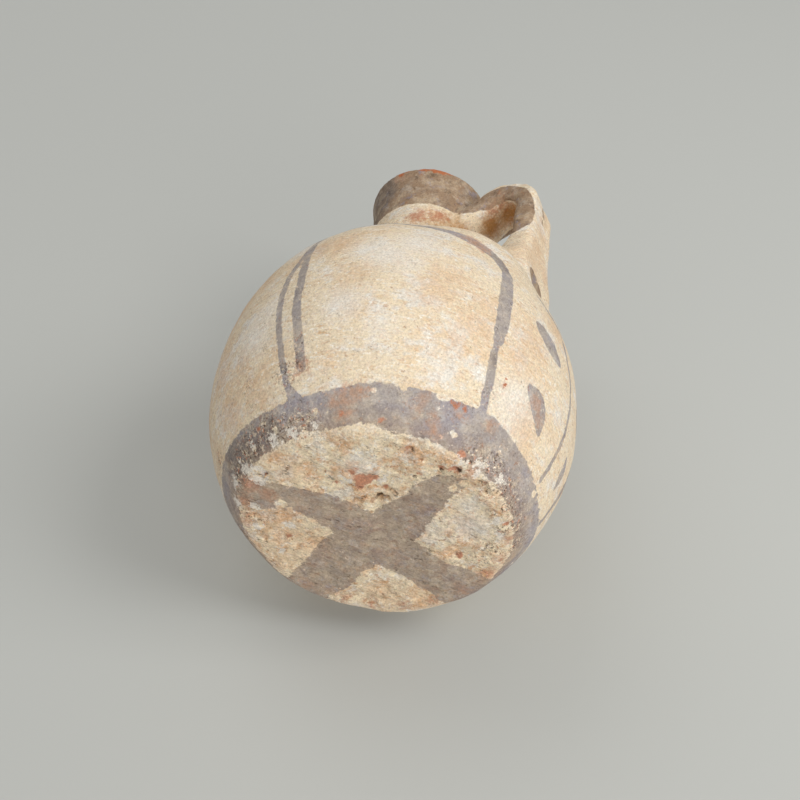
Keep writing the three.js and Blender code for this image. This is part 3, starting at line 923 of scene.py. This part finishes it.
# Thin iron paint, fired violet grey with red brown clouds, and its red and dark places
PAINT = ("#aaa099", [
    ("#a09aa0", 8, 1, 0.45, 0.62, 0.8),
    ("#ab8e7a", 6, 1, 0.54, 0.68, 0.6),
    ("#857c7b", 3, 1, 0.54, 0.66, 0.55),
    ("#9aa0ab", 2.6, 1, 0.6, 0.68, 0.6),
    ("#a97355", 1.4, 1, 0.6, 0.66, 0.55),
    ("#dccfbd", 0.8, 1, 0.59, 0.64, 0.7),
    ("#5b4e46", 0.8, 1, 0.6, 0.65, 0.7),
])
RED_PAINT_COLOUR = "#bf987c"
DARK_PAINT_COLOUR = "#6c625c"

# The same paint where it fired brown, on the lip, the handle and the base
BROWN_PAINT = ("#9d8268", [
    ("#93857b", 6, 1, 0.5, 0.66, 0.6),
    ("#84684f", 4, 1, 0.52, 0.68, 0.6),
    ("#5b4838", 2.4, 1, 0.54, 0.64, 0.65),
    ("#918b96", 3, 1, 0.55, 0.65, 0.65),
    ("#a87450", 2, 1, 0.58, 0.66, 0.55),
    ("#bda891", 1.4, 1, 0.56, 0.66, 0.65),
    ("#4f3f33", 0.8, 1, 0.61, 0.66, 0.6),
])

# Low-fired red clay, where the coats are gone, and dusted with slip on the base
CLAY = ("#bb6d43", [
    ("#9f522c", 2.5, 1, 0.46, 0.64, 0.7),
    ("#cf9a74", 1, 1, 0.58, 0.7, 0.55),
])
DUSTED_CLAY_COLOUR = "#cf977a"

# Raw inside of the vessel, never slipped
RAW = ("#c09a78", [
    ("#a67d5c", 9, 3, 0.46, 0.66, 0.6),
    ("#cdb092", 2.5, 4, 0.52, 0.68, 0.5),
])

# Colours of the spots, and of the gaps, holes and fissures in the coats. Pits, gaps, holes and fissures are
# dark with painted shade
SPOT_COLOURS = {
    "chalk": "#f0eadf",
    # Ochre of the stains, which on the base also stands for painted shade
    "stain_and_shade": "#dcb389",
    # Ochre of the soil, which in the handle's loop also stands for painted shade
    "soil_and_shade": "#b07a38",
    "red": "#bd7a5b",
    "lime": "#f0e7d8",
    "pit_shade": "#3d2b1e",
    "gap_shade": "#5a4334",
    "hole_shade": "#6a5340",
    "fissure_shade": "#6b5440",
}

# Spots that are torn at their edges: how far the tearing reaches and how soft the edge is, in millimetres,
# and their strength
TORN_SPOTS = {
    "bare": (3.2, 0.25, 0.9),
    "red": (8, 1.4, 0.75),
    "lime": (9, 0.3, 0.85),
    "soil_and_shade": (5, 1.6, 0.9),
    "pit_shade": (1.8, 0.2, 0.9),
    "chalk": (16, 3.5, 0.75),
    "stain_and_shade": (24, 3.5, 0.5),
    "dark": (5, 1.5, 0.6),
    "crumbs": (3, 2, 1),
}

# What lies over the slip, from the first coat to the last
COATS = (
    "underside", "chalk", "stain_and_shade", "inside", "soil_and_shade", "red", "painted", "grains", "gap_shade", "bare", "lime",
    "hole_shade", "fissure_shade", "pit_shade",
)

# Noise patterns: grain in millimetres, detail and roughness
NOISES = {
    "tatter": (2.4, 5, 0.72),
    "crumb": (1.3, 4, 0.7),
    "film": (3.5, 4, 0.65),
    "grain": (0.5, 2, 0.8),
    "grit": (0.8, 4, 0.7),
    "layers": (2.2, 4, 0.6),
    "streaks": (0.6, 2, 0.6),
}

# Those that are drawn out the way that the base was scraped, and how many times
DRAWN_OUT = ("layers", "streaks")
DRAWN_OUT_STRETCH = 3.5


def slipped_and_painted_terracotta():
    """Low-fired clay under cream slip, brushed with thin iron paint and worn in the ground. It gives a matt,
    chalky, clouded surface, and paint with ragged edges, chipped and rubbed through to slip and clay."""
    material = bpy.data.materials.new("slipped_and_painted_terracotta")
    material.use_nodes = True
    tree = material.node_tree
    node = partial(add_node, tree)
    shader = tree.nodes["Principled BSDF"]
    coordinates = node("TexCoord", {}).outputs["Object"]
    place = node("VectorMath", {0: coordinates, "Scale": 1 / MM}, operation="SCALE")
    scraped = node("Mapping", {
        "Vector": place, "Rotation": (0, 0, math.radians(SCRAPED_AZIMUTH)),
        "Scale": (DRAWN_OUT_STRETCH, 1, 1),
    }, vector_type="TEXTURE")
    field = {name: node("Attribute", {}, attribute_name=name).outputs["Fac"] for name in FIELDS}
    pattern = {}
    for name, (grain, detail, roughness) in NOISES.items():
        pattern[name] = node("TexNoise", {
            "Vector": scraped if name in DRAWN_OUT else place,
            "Scale": 1 / grain, "Detail": detail, "Roughness": roughness})

    # Ragged edge of the paint, most where the base is rubbed
    ragged = node("MapRange", {"Value": field["rubbed"], "To Min": 1.4, "To Max": 3.4})
    swing = node("Math", {0: pattern["tatter"], 1: 0.5}, operation="SUBTRACT")
    edge = node("Math", {0: swing, 1: ragged, 2: field["paint"]}, operation="MULTIPLY_ADD")
    painted = node("MapRange", {"Value": edge, "From Min": -0.1, "From Max": 0.14})

    # Chips, more of them near the edge of the paint and where it is rubbed
    near_edge = node("MapRange", {"Value": field["paint"], "From Max": 2, "To Min": 0.07, "To Max": 0})
    chipping = node("Math", {0: field["rubbed"], 1: 0.035, 2: pattern["crumb"]}, operation="MULTIPLY_ADD")
    chipping = node("Math", {0: chipping, 1: near_edge}, operation="ADD")
    whole = node("MapRange", {
        "Value": chipping, "From Min": 0.69, "From Max": 0.73, "To Min": 1, "To Max": 0})

    # A film of uneven thickness, thinner on the base
    thick = node("MapRange", {
        "Value": pattern["film"], "From Min": 0.3, "From Max": 0.55, "To Min": 0.6, "To Max": 0.97})
    worn = node("MapRange", {"Value": field["underside"], "To Min": 1, "To Max": 0.85})

    # Spots with torn edges
    where = dict(field)
    swing = node("Math", {0: pattern["crumb"], 1: 0.5}, operation="SUBTRACT")
    for name, (tearing, softness, strength) in TORN_SPOTS.items():
        torn = node("Math", {0: swing, 1: tearing, 2: field[name]}, operation="MULTIPLY_ADD")
        where[name] = node("MapRange", {
            "Value": torn, "From Min": -softness, "From Max": softness, "To Max": strength})

    # Where the band and the rim of the base crumble: places without paint, grains of clay, and painted shade
    # in the gaps between them
    lost = clouds(tree, place, 1.1, 0.53, 0.60, where["crumbs"])
    where["grains"] = clouds(tree, place, 0.9, 0.56, 0.61, where["crumbs"])
    where["gap_shade"] = clouds(tree, place, 0.75, 0.54, 0.60, where["crumbs"])
    kept = node("Math", {0: 1, 1: lost}, operation="SUBTRACT")
    cover = painted
    for share in (whole, thick, worn, kept):
        cover = node("Math", {0: cover, 1: share}, operation="MULTIPLY")
    where["painted"] = cover

    # Painted shade of small holes left by burnt-out chaff, as dark specks gathered in places
    where["hole_shade"] = clouds(tree, place, 0.7, 0.61, 0.66, clouds(tree, place, 9, 0.46, 0.62, 0.8))

    # Creases of the slip and fissures of the torn base, sunk in the bump and darkened with painted shade
    level = node("Math", {0: pattern["layers"], 1: 0.5}, operation="SUBTRACT")
    level = node("Math", {0: level}, operation="ABSOLUTE")
    opened = node("MapRange", {"Value": field["underside"], "To Min": 0.3, "To Max": 0.6})
    split_and_shade = node("MapRange", {
        "Value": level, "From Min": 0.004, "From Max": 0.028,
        "To Min": clouds(tree, place, 3.5, 0.54, 0.64, opened), "To Max": 0})
    where["fissure_shade"] = split_and_shade

    # The coats: paint with its brown, dark and red places, clay dusted where rubbed, and all of them on slip
    dust = node("Math", {0: field["rubbed"], 1: 0.65}, operation="MULTIPLY")
    clay = lay_coats(tree, mottle(tree, place, *CLAY), [(dust, DUSTED_CLAY_COLOUR)])
    paint = lay_coats(tree, mottle(tree, place, *PAINT), [
        (field["browned"], mottle(tree, place, *BROWN_PAINT)),
        (where["dark"], DARK_PAINT_COLOUR),
        (where["red"], RED_PAINT_COLOUR),
    ])
    coat = {
        **SPOT_COLOURS, "underside": mottle(tree, place, *BASE), "inside": mottle(tree, place, *RAW),
        "painted": paint, "grains": clay, "bare": clay,
    }
    colour = lay_coats(tree, mottle(tree, place, *SLIP), [(where[name], coat[name]) for name in COATS])

    # Chalky grain, drawn a little coarser than the real one so that it shows, strongest on the torn base and
    # the crumbs, and fine streaks where the base was scraped
    streaked = node("Math", {0: field["underside"], 1: 0.45}, operation="MULTIPLY")
    grain = node("Mix", {0: streaked, 2: pattern["grain"], 3: pattern["streaks"]})
    coarse = node("Math", {
        0: cover, 1: -0.5, 2: field["underside"]}, operation="MULTIPLY_ADD", use_clamp=True)
    coarse = node("Math", {0: coarse, 1: where["crumbs"]}, operation="MAXIMUM")
    darkest = node("MapRange", {"Value": coarse, "To Min": 0.77, "To Max": 0.54})
    lightest = node("MapRange", {"Value": coarse, "To Min": 1.18, "To Max": 1.38})
    shade = node("MapRange", {
        "Value": grain, "From Min": 0.28, "From Max": 0.72, "To Min": darkest, "To Max": lightest})
    colour = node("Mix", {
        "Factor": 1, "A": colour, "B": shade}, data_type="RGBA", blend_type="MULTIPLY")
    tree.links.new(colour.outputs[2], shader.inputs["Base Color"])

    # Grit of the clay, coarse on the torn base
    grit = node("Math", {0: pattern["grit"], 1: split_and_shade}, operation="SUBTRACT")
    depth = node("MapRange", {"Value": field["underside"], "To Min": 0.45, "To Max": 0.85})
    bump = node("Bump", {"Height": grit, "Strength": depth, "Distance": 0.55 * MM})
    tree.links.new(bump.outputs["Normal"], shader.inputs["Normal"])
    shader.inputs["Roughness"].default_value = 0.9
    shader.inputs["Specular IOR Level"].default_value = 0.25
    return material


def finish_piece(piece, node, material):
    """Scales a piece to metres, gives it its fields and material, and has it stand for its solid."""
    piece.vertex_groups.clear()
    for name, values in surface_fields(vertex_places(piece)).items():
        attribute = piece.data.attributes.new(name, "FLOAT", "POINT")
        attribute.data.foreach_set("value", values.astype(np.float32))
    piece.data.transform(Matrix.Scale(MM, 4))
    piece.data.materials.clear()
    piece.data.materials.append(material)
    select_only(piece)
    bpy.ops.object.shade_smooth_by_angle(angle=math.radians(55))
    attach(piece, "root")
    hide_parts(node)


def lying_frame():
    """Up from the board that the jug lies on, and how far it is from the jug's origin, in millimetres."""
    azimuth, dip = math.radians(LYING_AZIMUTH), math.radians(BASE_DIP)
    up = Vector((math.cos(azimuth) * math.cos(dip), math.sin(azimuth) * math.cos(dip), math.sin(dip)))
    depth = float(np.max(OUTSIDE[:, 0] * math.cos(dip) - OUTSIDE[:, 1] * math.sin(dip)))
    return up, depth


BOARD_COLOUR = "#bfc0bb"
BOARD_SIZE = 3


def lay_floor(up, depth):
    """Pale board under the lying jug. It takes the jug's shadow, and lets light and looks through from below,
    so that the jug is lit from below as by a bright board and shows no dark mark where it lies."""
    bpy.ops.object.select_all(action="DESELECT")
    bpy.ops.mesh.primitive_plane_add(size=BOARD_SIZE)
    floor = bpy.context.object
    floor.name = "floor"
    turn = up.to_track_quat("Z", "Y").to_matrix().to_4x4()
    floor.data.transform(Matrix.Translation(-up * depth * MM) @ turn)
    material = bpy.data.materials.new("matt_grey_board")
    material.use_nodes = True
    tree = material.node_tree
    board = tree.nodes["Principled BSDF"]
    board.inputs["Base Color"].default_value = linear(BOARD_COLOUR)
    board.inputs["Roughness"].default_value = 1
    side = add_node(tree, "NewGeometry", {}).outputs["Backfacing"]
    clear = add_node(tree, "BsdfTransparent", {})
    seen = add_node(tree, "MixShader", {0: side, 1: board, 2: clear})
    tree.links.new(seen.outputs[0], tree.nodes["Material Output"].inputs["Surface"])
    floor.data.materials.append(material)
    floor.visible_shadow = False
    floor.visible_diffuse = False


def place_camera():
    """A camera that looks down on the base of the lying jug, level with the surface under it."""
    up = Vector((*direction(LYING_AZIMUTH), 0))
    place = Vector(CAMERA_PLACE) * MM
    ahead = (Vector(CAMERA_TARGET) * MM - place).normalized()
    right = ahead.cross(up).normalized()
    camera = bpy.data.objects.new("camera", bpy.data.cameras.new("camera"))
    bpy.context.scene.collection.objects.link(camera)
    turn = Matrix((right, right.cross(ahead), -ahead)).transposed().to_4x4()
    camera.matrix_world = Matrix.Translation(place) @ turn
    camera.data.sensor_width = SENSOR
    camera.data.lens = LENS
    camera.data.clip_start = 0.01
    bpy.context.scene.camera = camera


# Light, with ways as shares to the right, up from the board and along the jug to its neck: the level from all
# round, the soft lobes over it with how narrow and how strong they are, from the base's side, from above and,
# for the light that a board throws back, from below, and the lamps with distance in metres, size and power
DAYLIGHT = 0.15
DAYLIGHT_LOBES = [((0.3, 0, -0.95), 2, 0.5), ((0, 1, 0), 1, 0.44), ((0, -1, 0), 1, 0.4)]
BACKDROP_COLOUR = "#b9bab5"
LAMPS = {
    "window": ((0.67, 0.72, -0.18), 0.8, 0.4, 2.9),
    "skylight": ((-0.4, 0.8, 0.4), 0.9, 0.6, 1.4),
    "front_fill": ((0.4, 0.3, -0.9), 0.9, 0.5, 1.5),
    "back_fill": ((0.0, -0.8, 0.6), 1.0, 0.8, 1.3),
}


def way_from(shares, up):
    """A way from its shares to the right, up from the board and along the jug to its neck."""
    to_right, to_sky, to_neck = shares
    right = Vector((-up.y, up.x, 0)).normalized()
    return right * to_right + up * to_sky + Vector((0, 0, to_neck))


def hang_lamp(name, way, distance, size, power):
    """A square soft lamp that shines on the jug's middle from a direction."""
    lamp = bpy.data.objects.new(name, bpy.data.lights.new(name, "AREA"))
    lamp.data.size = size
    lamp.data.energy = power
    bpy.context.scene.collection.objects.link(lamp)
    middle = Vector((0, 0, RIM_HEIGHT / 2 * MM))
    turn = way.to_track_quat("Z", "Y").to_matrix().to_4x4()
    lamp.matrix_world = Matrix.Translation(middle + way * distance) @ turn


def soft_daylight(up):
    """Light from all round and its lobes, and a pale backdrop for what is seen."""
    world = bpy.data.worlds.new("soft_daylight")
    bpy.context.scene.world = world
    world.use_nodes = True
    tree = world.node_tree
    way = add_node(tree, "TexCoord", {}).outputs["Generated"]
    level = DAYLIGHT
    for shares, narrowness, strength in DAYLIGHT_LOBES:
        lobe = add_node(tree, "VectorMath", {0: way, 1: way_from(shares, up)}, operation="DOT_PRODUCT")
        lobe = add_node(tree, "Math", {0: lobe, 1: 0}, operation="MAXIMUM")
        lobe = add_node(tree, "Math", {0: lobe, 1: narrowness}, operation="POWER")
        level = add_node(tree, "Math", {0: lobe, 1: strength, 2: level}, operation="MULTIPLY_ADD")
    rays = add_node(tree, "LightPath", {}).outputs
    seen = rays["Is Camera Ray"]
    for kind in ("Is Glossy Ray", "Is Transmission Ray"):
        seen = add_node(tree, "Math", {0: seen, 1: rays[kind]}, operation="MAXIMUM")
    sky = lay_coats(tree, level, [(seen, BACKDROP_COLOUR)])
    tree.links.new(sky.outputs[2], tree.nodes["Background"].inputs["Color"])


up, depth = lying_frame()
place_camera()
lay_floor(up, depth)
soft_daylight(up)
for name, (shares, distance, size, power) in LAMPS.items():
    hang_lamp(name, way_from(shares, up).normalized(), distance, size, power)
bpy.context.scene.view_settings.view_transform = "Standard"

terracotta = slipped_and_painted_terracotta()
for node, piece in split_clay(model_clay()).items():
    finish_piece(piece, node, terracotta)
